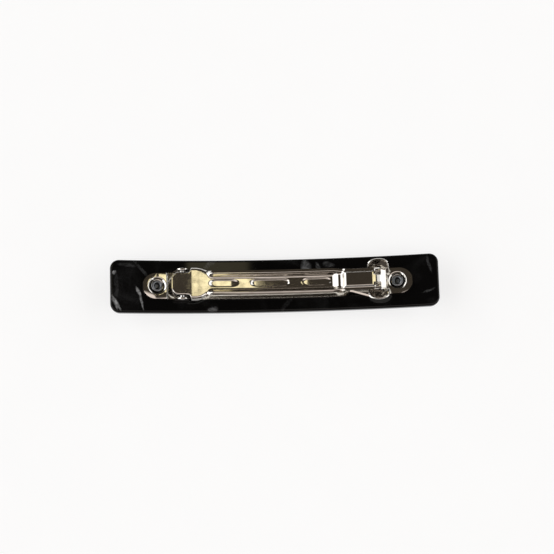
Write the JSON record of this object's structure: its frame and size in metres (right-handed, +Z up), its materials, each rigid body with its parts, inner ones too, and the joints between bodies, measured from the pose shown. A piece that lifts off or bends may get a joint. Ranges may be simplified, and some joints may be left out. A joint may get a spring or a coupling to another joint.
{
  "type": "barrette",
  "caption": "Bowed acetate barrette with a riveted French clip: hinged clasp arm, leaf spring and pinch latch.",
  "frame": {"origin": "under the middle of the bar, on the flat facet it rests on, with the clip side up", "axes": "+X along the bar from the clip's hinge to its latch, +Y across the bar, +Z up from the convex front to the clip"},
  "size_m": [0.097, 0.0158, 0.0144],
  "materials": {
    "acetate": "polished black acetate with smoky grey marbling",
    "nickel_plate": "bright nickel plate on stamped steel",
    "pin_steel": "plated steel pin",
    "spring_steel": "plated spring steel",
    "rivet_metal": "dull plated tubular rivet"
  },
  "bodies": {
    "root": {"acetate_bar": "acetate", "base_plate": "nickel_plate", "rivet_hinge_end": "rivet_metal", "rivet_latch_end": "rivet_metal", "hinge_pin": "pin_steel"},
    "clasp_arm": {"clasp_arm": "nickel_plate"},
    "tension_spring": {"tension_spring": "spring_steel"},
    "latch_prong_near": {"latch_prong_near": "nickel_plate"},
    "latch_prong_far": {"latch_prong_far": "nickel_plate"}
  },
  "joints": [
    {"name": "clasp_hinge", "type": "hinge", "parent": "root", "child": "clasp_arm", "pos_m": [-0.02735, 0, 0.00973], "axis": [0, -1, 0], "range_deg": [0, 75]},
    {"name": "spring_flex", "type": "hinge", "parent": "root", "child": "tension_spring", "pos_m": [-0.02735, 0, 0.00973], "axis": [0, -1, 0], "range_deg": [-0.9, 0], "stiffness_Nm_per_rad": 0.3},
    {"name": "latch_pinch_near", "type": "hinge", "parent": "root", "child": "latch_prong_near", "pos_m": [0.03073, -0.0026, 0.00741], "axis": [-0.9877, 0, -0.1562], "range_deg": [0, 8], "stiffness_Nm_per_rad": 0.15},
    {"name": "latch_pinch_far", "type": "hinge", "parent": "root", "child": "latch_prong_far", "pos_m": [0.03073, 0.0026, 0.00741], "axis": [0.9877, 0, 0.1562], "range_deg": [0, 8], "stiffness_Nm_per_rad": 0.15}
  ]
}
